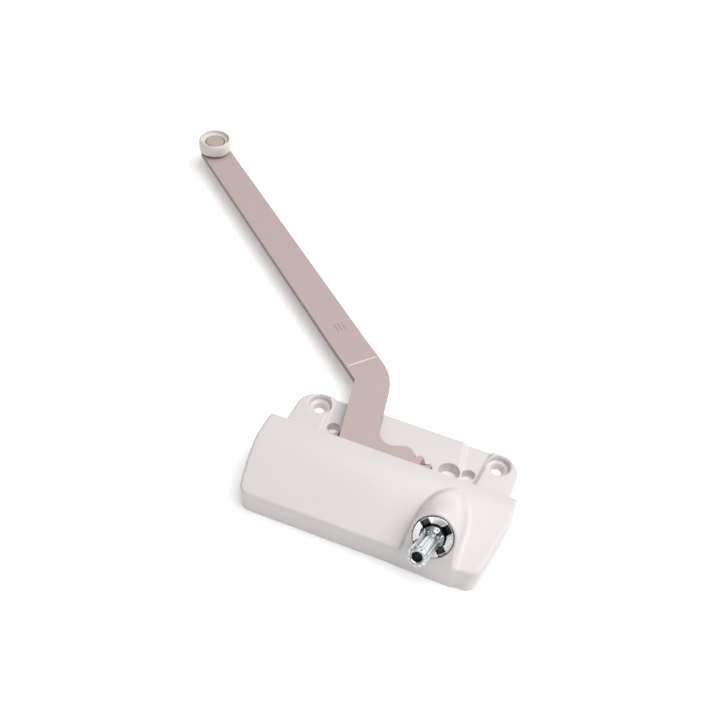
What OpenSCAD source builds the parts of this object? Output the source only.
// Single-arm window crank operator for a casement sash.
//
// Frame: the origin is midway between the two sill screws, on the underside.
// +X runs along the housing towards the crank stub, +Y points out of the window
// and +Z up from the sill. The arm is drawn part way open.

/* [Housing] */
// Width of the mounting flange
flange_w = 100; // [98:0.5:101]
// Thickness of the flange at its ears and in the middle
flange_t = 5.8; // [5.4:0.1:6.2]
// Screw line to the outer edge of the flange
flange_back = 6.4; // [6:0.1:9]
// Spacing of the two sill screws
screw_span = 81; // [78:0.5:83]
// Diameter of the sill screw holes
screw_d = 5.2; // [4.8:0.1:5.6]
// Screw line to the front edge of the housing
front_y = -61.3; // [-63:0.1:-61.3]
// Screw line to the back edge of the cover
cover_back_y = -22; // [-23:0.1:-21]
// Height of the cover at its back edge
cover_back_h = 16; // [15.6:0.1:17]
// Wall thickness of the cover
wall = 1.9; // [1.6:0.1:2.1]

/* [Crank] */
// Angle of the crank shaft above the sill
crank_tilt = 36.5; // [35:0.5:38]
// Diameter of the splined stub over its teeth
spline_d = 7.94; // [7.5:0.01:8.2]
// Number of spline teeth
spline_teeth = 12; // [12:1:16]
// Mouth of the hood around the shaft
hood_mouth_d = 16.6; // [16.4:0.1:17]

/* [Arm] */
// Thickness of the steel arm
arm_t = 2.8; // [2.4:0.1:2.9]
// How much lower the arm's outer part runs, past its bend
arm_step = 0.5; // [0:0.1:0.6]
// Width of the arm at the roller
arm_tip_w = 14.8; // [13:0.1:15.5]
// Diameter of the roller
roller_d = 16.7; // [15:0.1:18]
// Height of the roller
roller_h = 6.9; // [6:0.1:7.2]

/* [Hidden] */
$fn = 64;
eps = 0.01;
run = 0.05;            // radial running clearance

// Colours
enamel = [0.90, 0.88, 0.87];
taupe = [0.78, 0.70, 0.68];
cream = [0.93, 0.90, 0.80];
zinc = [0.75, 0.78, 0.80];
steel = [0.55, 0.56, 0.58];
bronze = [0.72, 0.55, 0.33];
nylon = [0.92, 0.91, 0.88];
seal_black = [0.10, 0.10, 0.11];

// Heights of the arm and its pivot stack
arm_z = 7.0;
arm_top = arm_z + arm_t;
arm_mid = arm_z + arm_t / 2;
floor_t = 2.4;
washer_t = 0.6;
pivot = [1.0, -34.6];
pivot_r = 4;           // stud
bushing_r = 5.6;       // outside of the bushing
boss_r = 8;
boss_top = arm_z - run - washer_t;
clip_z = arm_top + 2 * run + washer_t;
clip_t = 1;
stud_top = clip_z + clip_t + 1.2;

// Gear sector and worm
teeth = 27;            // teeth in a full circle
tip_r = 24.1;
root_r = 21.45;
tooth_root_w = 2.9;
tooth_tip_w = 1.5;
tooth_skew = 26;       // lean of the teeth, so they match the sloping worm
first_tooth = 51.7;    // place of one tooth around the pivot
tooth_steps = [-9:1];  // teeth on the sector, counted from that one
worm_pitch = 4.6;
worm_root_r = 4.5;
worm_tip_r = 6.7;
thread_root_w = 2.1;
thread_tip_w = 1.0;
thread_phase = 3.3;    // thread position along the shaft, in mesh at rest
worm_lo = -2.2;        // ends of the worm along the shaft
worm_hi = 9.4;

// The shaft axis crosses the arm's mid plane here; stations run up the shaft
mesh_point = [29.3, -41.9, arm_mid];
seat_r = 3.2;          // worm seat
pilot_r = 2;
journal_r = 4.7;
pilot_lo = -7.2;
thrust_lo = worm_hi + run;
bush_lo = worm_hi + 0.7;
bush_hi = 13;
seal_hi = 14.6;
nut_hi = 17.6;
tube_r = 8;
tube_lo = 6.6;
tube_hi = 16.7;
mouth = 17.7;          // front face of the hood
hood_w = 9.8;          // half width of the hood
hood_square_y = -50;   // the hood is at its full width in front of this
hood_tip_y = -28.6;
hood_top_z = 26.6;     // highest point of the hood
hood_axis_z = 14.4;    // height of the shaft axis there
hood_foot_z = 16.2;    // height of the cover at the hood's tip
nut_r = 7.25;
flange_r = 8.1;        // head of the nut, over the end of the tube
slot_w = 3.6;          // wrench slots of the nut
slot_depth = 2.4;
bush_r = 6.95;
spline_lo = 24;
stub_tip = 47.2;

// Small holes and recesses of the flange
spare_hole = [30.5, -9.2];
spare_hole_r = 2.65;
clearance_hole = [22.5, -12];
clearance_hole_r = 4.5;
valley_t = 4.5;
works_w = flange_w - 6;  // width of the room for the works
cover_half_w = 54.5;
crease_z = 10;         // height of the crease round the cover's ends
foot_scale = 0.978;    // width of the cover at its foot, against that at its crease
corner_r = 3.8;        // front corners of the cover

// Arm outline
lower_dir = 100.6;     // direction of the inner part of the arm
outer_dir = 139.4;     // direction of the outer part
roller_c = [-161, 139.9];
crease = [-31.6, 29];  // where the slope down to the outer part begins
slope_len = 12;
outer_z = arm_z - arm_step;
roller_z = outer_z + arm_t + 0.8;
head_h = 2.2;          // rivet head, let into the roller's top
bend_in = [-31.2, 16.2];
bend_out = [-16.9, 25.4];

cover_screw_at = [[44, -51], [48, -33.8]];
// Window under the worm and the plate that closes it: left, front, right and back
window = [24.5, -50.5, 34.2, -34];
plate = [18.6, -54.4, 40.1, -30.6];
plate_t = 0.8;
rivet_inset = 2.4;

// Places things on the crank axis: z runs up the shaft, x stays along the housing
module on_shaft(station = 0)
    translate(mesh_point) rotate([90 - crank_tilt, 0, 0]) translate([0, 0, station]) children();

module at_pivot(z = 0) translate([pivot[0], pivot[1], z]) children();

module ring(outer, inner, height)
    difference() {
        cylinder(r = outer, h = height);
        translate([0, 0, -1]) cylinder(r = inner, h = height + 2);
    }

module both_sides() {
    children();
    mirror([1, 0, 0]) children();
}

function bezier(p, t) = len(p) == 1 ? p[0]
    : bezier([for (i = [0:len(p) - 2]) p[i] * (1 - t) + p[i + 1] * t], t);
function curve(p, n) = [for (i = [0:n]) bezier(p, i / n)];

// Section of the cover across its width, shrunk by inset all round
function cover_section(inset) = concat(
    curve([[cover_back_y, cover_back_h - inset], [-35, 17.6 - inset],
           [-48, 13.2 - inset], [front_y + 1.6 + inset, 10.6 - inset]], 16),
    curve([[front_y + 1.2 + inset, 10.5 - inset], [front_y + inset, 10.2 - inset],
           [front_y + inset, 8.6 - inset]], 4),
    [[front_y + inset, 0], [-27, 0]]);

// Half width of the cover over its crease: it draws in towards the front
function side_x(y) = cover_half_w - 0.0285 * pow(max(-34 - y, 0), 1.5) - 0.04 * max(y + 34, 0);

// Right half of the cover in plan, shrunk by inset at its front and end
function cover_side(inset) = concat(
    [for (y = [cover_back_y:-4:front_y + corner_r + 2]) [side_x(y) - inset, y]],
    curve([[side_x(front_y + corner_r) - inset, front_y + corner_r + inset * 0.5],
           [side_x(front_y) - inset, front_y + inset],
           [side_x(front_y) - corner_r - inset * 0.5, front_y + inset]], 6));

module cover_plan(inset)
    both_sides() polygon(concat([[-eps, cover_back_y]], cover_side(inset), [[-eps, front_y + inset]]));

// Plan of the cover at its foot: the end walls lean outwards up to the crease
module cover_foot(inset) scale([foot_scale, 1]) cover_plan(inset);

// Solid bounded by the section and the plan
module cover_body(inset)
    intersection() {
        translate([-60, 0, 0]) rotate([90, 0, 90])
            linear_extrude(120) polygon(cover_section(inset));
        union() {
            linear_extrude(crease_z, scale = [1 / foot_scale, 1], slices = 1) cover_foot(inset);
            translate([0, 0, crease_z - eps]) linear_extrude(20) cover_plan(inset);
        }
    }

// Outside of the hood: an arched nose round the shaft, tapering to a tip on the cover
module hood_body() {
    length = hood_tip_y - hood_square_y;
    intersection() {
        hull() {
            on_shaft(mouth - 1) cylinder(r = hood_w, h = 1);
            translate([mesh_point[0] - hood_w - 0.8, front_y, 0]) cube([2 * hood_w + 1.6, 8, 1]);
            for (t = [0, 0.25, 0.5, 0.7, 0.85, 0.95, 0.99])
                hood_slice(hood_square_y + t * length, hood_w * sqrt(1 - t * t),
                           hood_foot_z + (hood_top_z - hood_foot_z) * (1 - pow(t, 1.5)));
        }
        translate([0, front_y, 0]) cube([60, 60, 60]);
    }
}

// One arch of the hood, of half width w and height top
module hood_slice(y, w, top)
    translate([mesh_point[0], y, 0]) rotate([90, 0, 0]) linear_extrude(0.05) {
        translate([0, hood_axis_z]) scale([w, max(top - hood_axis_z, 1.5)]) circle(1, $fn = 48);
        translate([-w, 2]) square([2 * w, hood_axis_z - 2]);
    }

module front_cover()
    color(enamel) {
        difference() {
            union() {
                cover_body(0);
                hood_body();
            }
            difference() {
                translate([0, 0, -eps]) cover_body(wall);
                // bosses for the screws stay inside the shell
                both_sides() for (p = cover_screw_at)
                    translate([p[0], p[1], floor_t + run]) cylinder(r = 2.9, h = 30);
            }
            // open back
            translate([-flange_w / 2 - 0.15, -27.5, -1])
                cube([flange_w + 0.3, 10, 14.3]);
            // room for the works inside the hood and for the sector's teeth
            on_shaft(-9) cylinder(r = hood_mouth_d / 2, h = 50);
            at_pivot(arm_z - 0.6) cylinder(r = tip_r + 0.5, h = arm_t + 0.8);
            both_sides() for (p = cover_screw_at)
                translate([p[0], p[1], -1]) cylinder(r = 1.3, h = 10);
        }
    }

module casting_outline() {
    corner = 9;
    both_sides() hull() {
        translate([0, -30]) square([flange_w / 2, 4]);
        translate([flange_w / 2 - corner, flange_back - corner]) circle(r = corner);
        translate([0, flange_back - 1]) square([1, 1]);
    }
}

module sill_hole()
    translate([screw_span / 2, 0, 0]) {
        translate([0, 0, -1]) cylinder(d = screw_d, h = flange_t + 2);
        translate([0, 0, flange_t - 3.4]) cylinder(r1 = screw_d / 2, r2 = 3.8, h = 1.3 + eps);
        translate([0, 0, flange_t - 2.1]) cylinder(r = 4.9, h = 3);
    }

// Shallow valley between an ear and the middle of the flange
module valley()
    translate([0, flange_back + 1, 0]) rotate([90, 0, 0]) linear_extrude(36)
        polygon([[23.2, flange_t + 1], [23.2, flange_t], [25.2, valley_t], [33, valley_t],
                 [35.2, flange_t], [35.2, flange_t + 1]]);

module base_casting()
    color(enamel) {
        difference() {
            union() {
                linear_extrude(floor_t) cover_foot(wall + 0.3);
                linear_extrude(flange_t) casting_outline();
                at_pivot() cylinder(r = boss_r, h = boss_top);
                // sloping tube for the shaft, on its pedestal
                intersection() {
                    union() {
                        on_shaft(tube_lo) cylinder(r = tube_r, h = tube_hi - tube_lo);
                        translate([23.5, -58.6, 0]) cube([11.6, 10, 8.4]);
                    }
                    translate([0, front_y + wall + 0.3, 0]) cube([60, 60, 40]);
                }
                // block for the pilot end
                translate([26.2, -41.5, 0]) cube([6.9, 10.5, 8.2]);
            }
            both_sides() {
                sill_hole();
                valley();
                translate([spare_hole[0], spare_hole[1], -1])
                    cylinder(r = spare_hole_r, h = flange_t + 2);
                translate([clearance_hole[0], clearance_hole[1], -1])
                    cylinder(r = clearance_hole_r, h = flange_t + 2);
                for (p = cover_screw_at) translate([p[0], p[1], -1]) {
                    cylinder(r = 1.6, h = 8);
                    cylinder(r = 3.1, h = 2.2);
                }
                // core-outs in the underside
                translate([4, -20, -1]) cube([12, 20, 4]);
                translate([40.5, -19, -1]) cube([6, 11, 4]);
            }
            // the works run above the floor; the pedestal, the tube and the pivot boss stay
            difference() {
                translate([-works_w / 2, -58, floor_t]) cube([works_w, 35, 40]);
                translate([18, -59, 0]) cube([24, 28, 60]);
                at_pivot() cylinder(r = boss_r, h = 60);
            }
            at_pivot(-1) cylinder(r = pivot_r, h = 20);
            at_pivot(-1) cylinder(r = 6.1, h = 2.2);
            // clearance round the sector's teeth
            at_pivot(arm_z - 0.6) cylinder(r = tip_r + 0.6, h = 4);
            // bores on the crank axis
            on_shaft(worm_lo - 0.4) cylinder(r = bush_r, h = bush_hi - worm_lo + 2.2);
            on_shaft(seal_hi) cylinder(r = nut_r, h = 9);
            on_shaft(pilot_lo - 0.4) cylinder(r = 3, h = 12);
            translate([0, 0, -1]) slab(window, floor_t + 1 + eps);
            translate([0, 0, -1]) slab(plate, plate_t + 1, 0.1);
            at_rivets() translate([0, 0, -1]) cylinder(r = 1.25, h = 5);
        }
    }

// Upright block over a rectangle given as left, front, right and back
module slab(r, height, grow = 0)
    translate([r[0] - grow, r[1] - grow, 0])
        cube([r[2] - r[0] + 2 * grow, r[3] - r[1] + 2 * grow, height]);

module at_rivets()
    for (x = [plate[0] + rivet_inset, plate[2] - rivet_inset])
        for (y = [plate[1] + rivet_inset, plate[3] - rivet_inset])
            translate([x, y, 0]) children();

module bottom_plate()
    color(steel) difference() {
        slab(plate, plate_t);
        at_rivets() translate([0, 0, -eps]) cylinder(r1 = 2, r2 = 1.25, h = plate_t + 2 * eps);
    }

module bottom_plate_rivets()
    color(steel) at_rivets() {
        cylinder(r1 = 2, r2 = 1.25, h = plate_t);
        cylinder(r = 1.25, h = floor_t + 0.4);
        translate([0, 0, floor_t]) cylinder(r1 = 2.1, r2 = 1.6, h = 0.9);
    }

module cover_screws()
    color(steel) both_sides() for (p = cover_screw_at) translate([p[0], p[1], 0]) difference() {
        union() {
            translate([0, 0, 0.1]) cylinder(r = 2.9, h = 1.1);
            cylinder(r = 1.3, h = 9);
        }
        translate([-0.4, -2, -1]) cube([0.8, 4, 1.7]);
        translate([-2, -0.4, -1]) cube([4, 0.8, 1.7]);
    }

module pivot_stud()
    color(steel) at_pivot() difference() {
        union() {
            cylinder(r = 6.1, h = 1.2);
            cylinder(r = pivot_r, h = stud_top - 0.6);
            translate([0, 0, stud_top - 0.6]) cylinder(r1 = pivot_r, r2 = pivot_r - 0.6, h = 0.6);
        }
        translate([0, 0, clip_z]) ring(pivot_r + 1, pivot_r - 0.8, clip_t);
    }

module lower_pivot_washer() color(nylon) at_pivot(boss_top) ring(boss_r - 0.4, pivot_r + run, washer_t);

module upper_pivot_washer()
    color(nylon) at_pivot(arm_top + run) ring(boss_r - 0.4, pivot_r + run, washer_t);

module pivot_clip()
    color(steel) at_pivot(clip_z + 0.05) difference() {
        ring(pivot_r + 2, pivot_r - 0.8, clip_t - 0.1);
        rotate(-70) translate([0, -1.4, -1]) cube([8, 2.8, 4]);
    }

module pivot_bushing() color(bronze) at_pivot(arm_z) ring(bushing_r, pivot_r + run, arm_t);

// One sector tooth, leaning with the worm's thread
module tooth()
    rotate([-tooth_skew, 0, 0]) translate([root_r - 0.6, 0, -5]) linear_extrude(10)
        polygon([[0, -tooth_root_w / 2], [0.6, -tooth_root_w / 2],
                 [tip_r - root_r + 0.6, -tooth_tip_w / 2], [tip_r - root_r + 0.6, tooth_tip_w / 2],
                 [0.6, tooth_root_w / 2], [0, tooth_root_w / 2]]);

function along(p, a, d) = p + d * [cos(a), sin(a)];

// Flat blank of the arm without its teeth
module arm_blank() {
    heel = along([pivot[0], pivot[1]], lower_dir + 90, 16);
    end_in = along(roller_c, outer_dir + 90, arm_tip_w / 2);
    end_out = along(roller_c, outer_dir - 90, arm_tip_w / 2);
    // outer part and bend
    polygon(concat([end_in, bend_in, along(bend_in, lower_dir, -6), along(bend_out, lower_dir, -9)],
                   curve([along(bend_out, lower_dir, -9), bend_out, along(bend_out, outer_dir, 9)], 8),
                   [end_out]));
    translate(roller_c) circle(d = arm_tip_w);
    // inner part down to the hub
    polygon(concat([along(bend_in, lower_dir, -5), along(bend_in, lower_dir, -46), heel],
                   [pivot, along(pivot, 72, root_r + 1)],
                   curve([along(pivot, 80, 24.4), along(pivot, 91, 26.5), along(pivot, 97, 20),
                          along(bend_out, lower_dir, -41), along(bend_out, lower_dir, -30)], 16),
                   [along(bend_out, lower_dir, -8)]));
    translate(pivot) {
        circle(r = 16);
        intersection() {
            circle(r = root_r);
            polygon([[0, 0], along([0, 0], 76, 40), along([0, 0], 30, 40), [40, 0],
                     along([0, 0], -30, 40), along([0, 0], -75, 40)]);
        }
    }
}

// Side view of the arm swept across it: past the crease it slopes down a little
module arm_profile()
    translate(crease) rotate([90, 0, outer_dir]) translate([0, 0, -150]) linear_extrude(300)
        polygon([[-150, arm_z], [0, arm_z], [slope_len, outer_z], [300, outer_z],
                 [300, outer_z + arm_t], [slope_len, outer_z + arm_t], [0, arm_top], [-150, arm_top]]);

module gear_arm()
    color(taupe) difference() {
        union() {
            intersection() {
                linear_extrude(arm_top + 5) arm_blank();
                arm_profile();
            }
            intersection() {
                at_pivot(arm_mid) for (i = tooth_steps) rotate(first_tooth + i * 360 / teeth) tooth();
                at_pivot(arm_z) cylinder(r = tip_r, h = arm_t);
            }
        }
        at_pivot(arm_z - 1) cylinder(r = bushing_r, h = arm_t + 2);
        at_roller(outer_z - 1) cylinder(r = 3, h = arm_t + 2);
    }

module at_roller(z) translate([roller_c[0], roller_c[1], z]) children();

module roller_stud()
    color(taupe) {
        at_roller(outer_z - 1.3) cylinder(r1 = 3.6, r2 = 4.3, h = 1.3);
        at_roller(outer_z - 0.1) cylinder(r = 3, h = roller_z + roller_h - head_h - outer_z + 0.6);
        at_roller(roller_z + roller_h - head_h + 0.1) intersection() {
            cylinder(r = 4.6, h = head_h);
            translate([0, 0, head_h - 13]) sphere(r = 13);
        }
    }

module roller_washer() color(steel) at_roller(outer_z + arm_t) ring(5, 3, 0.7);

module roller()
    color(cream) at_roller(roller_z) rotate_extrude() polygon([
        [3 + run, 0], [roller_d / 2 - 0.7, 0], [roller_d / 2, 0.7], [roller_d / 2, roller_h - 0.7],
        [roller_d / 2 - 0.7, roller_h], [5.7, roller_h], [5.7, roller_h - head_h],
        [3 + run, roller_h - head_h]]);

// Spline: a toothed stub with a chamfered tip
module spline_stub()
    intersection() {
        union() {
            cylinder(d = spline_d - 1.3, h = stub_tip - spline_lo);
            for (i = [1:spline_teeth]) rotate(i * 360 / spline_teeth)
                linear_extrude(stub_tip - spline_lo)
                    polygon([[0, -0.85], [spline_d / 2, -0.4], [spline_d / 2, 0.4], [0, 0.85]]);
        }
        union() {
            cylinder(d = spline_d, h = stub_tip - spline_lo - 1.6);
            translate([0, 0, stub_tip - spline_lo - 1.6]) cylinder(d1 = spline_d, d2 = 5.2, h = 1.6);
        }
    }

module crank_shaft()
    color(zinc) difference() {
        union() {
            on_shaft(pilot_lo) cylinder(r = pilot_r, h = worm_lo - pilot_lo + eps);
            on_shaft(worm_lo) cylinder(r = seat_r, h = worm_hi - worm_lo);
            on_shaft(worm_hi) cylinder(r = journal_r, h = spline_lo - 3 - worm_hi);
            on_shaft(spline_lo - 3) cylinder(r1 = journal_r, r2 = spline_d / 2 - 0.65, h = 3);
            on_shaft(spline_lo) spline_stub();
        }
        on_shaft(stub_tip - 7) cylinder(r = 1.8, h = 8);
        on_shaft(3.6) rotate([0, 90, 0]) cylinder(r = 1, h = 20, center = true);
    }

// Left-handed worm thread, as one closed helix
module worm_thread() {
    steps = 24;
    lo = worm_lo + 1.3;
    buried = worm_root_r - 0.3;
    count = round((worm_hi - 1.3 - lo) / worm_pitch * steps);
    first = (thread_phase - lo) / worm_pitch * 360;
    points = [for (i = [0:count]) let (a = first - i * 360 / steps, z = lo + i * worm_pitch / steps,
                 grow = min(1, i / 5, (count - i) / 5), r = buried + (worm_tip_r - buried) * grow)
              each [[(worm_root_r - 0.5) * cos(a), (worm_root_r - 0.5) * sin(a), z - thread_root_w / 2],
                    [r * cos(a), r * sin(a), z - thread_tip_w / 2],
                    [r * cos(a), r * sin(a), z + thread_tip_w / 2],
                    [(worm_root_r - 0.5) * cos(a), (worm_root_r - 0.5) * sin(a), z + thread_root_w / 2]]];
    sides = [for (i = [0:count - 1], k = [0:3]) let (a = 4 * i + k, b = 4 * i + (k + 1) % 4)
             each [[a, b + 4, b], [a, a + 4, b + 4]]];
    end = 4 * count;
    ends = [[0, 1, 2], [0, 2, 3], [end, end + 2, end + 1], [end, end + 3, end + 2]];
    polyhedron(points, concat(sides, ends));
}

module worm()
    color(zinc) on_shaft() difference() {
        union() {
            translate([0, 0, worm_lo]) cylinder(r = worm_root_r, h = worm_hi - worm_lo);
            worm_thread();
        }
        translate([0, 0, worm_lo - 1]) cylinder(r = seat_r, h = worm_hi - worm_lo + 2);
        translate([0, 0, 3.6]) rotate([0, 90, 0]) cylinder(r = 1, h = 20, center = true);
    }

module worm_pin()
    color(steel) on_shaft(3.6) rotate([0, 90, 0]) difference() {
        cylinder(r = 1, h = 8.8, center = true);
        cylinder(r = 0.5, h = 12, center = true);
    }

module worm_thrust_washer() color(bronze) on_shaft(thrust_lo) ring(bush_r - 0.1, journal_r + run, 0.6);

module front_bearing_bush() color(bronze) on_shaft(bush_lo) ring(bush_r, journal_r + run, bush_hi - bush_lo);

module rear_bearing_bush() color(bronze) on_shaft(pilot_lo - 0.4) ring(3, pilot_r + run, 4.4);

module shaft_seal()
    color(seal_black) on_shaft((bush_hi + seal_hi) / 2)
        rotate_extrude() translate([journal_r + run + 0.78, 0]) circle(r = 0.78, $fn = 32);

module ring_nut()
    color(zinc) on_shaft(seal_hi) difference() {
        union() {
            ring(nut_r, journal_r + 0.3, nut_hi - seal_hi);
            translate([0, 0, tube_hi - seal_hi]) ring(flange_r, journal_r + 0.3, nut_hi - tube_hi);
        }
        for (a = [45, 135]) rotate(a)
            translate([-10, -slot_w / 2, nut_hi - seal_hi - slot_depth]) cube([20, slot_w, 4]);
    }

base_casting();
bottom_plate();
bottom_plate_rivets();
front_cover();
cover_screws();
pivot_stud();
lower_pivot_washer();
pivot_bushing();
gear_arm();
upper_pivot_washer();
pivot_clip();
roller_stud();
roller_washer();
roller();
crank_shaft();
worm();
worm_pin();
worm_thrust_washer();
front_bearing_bush();
rear_bearing_bush();
shaft_seal();
ring_nut();
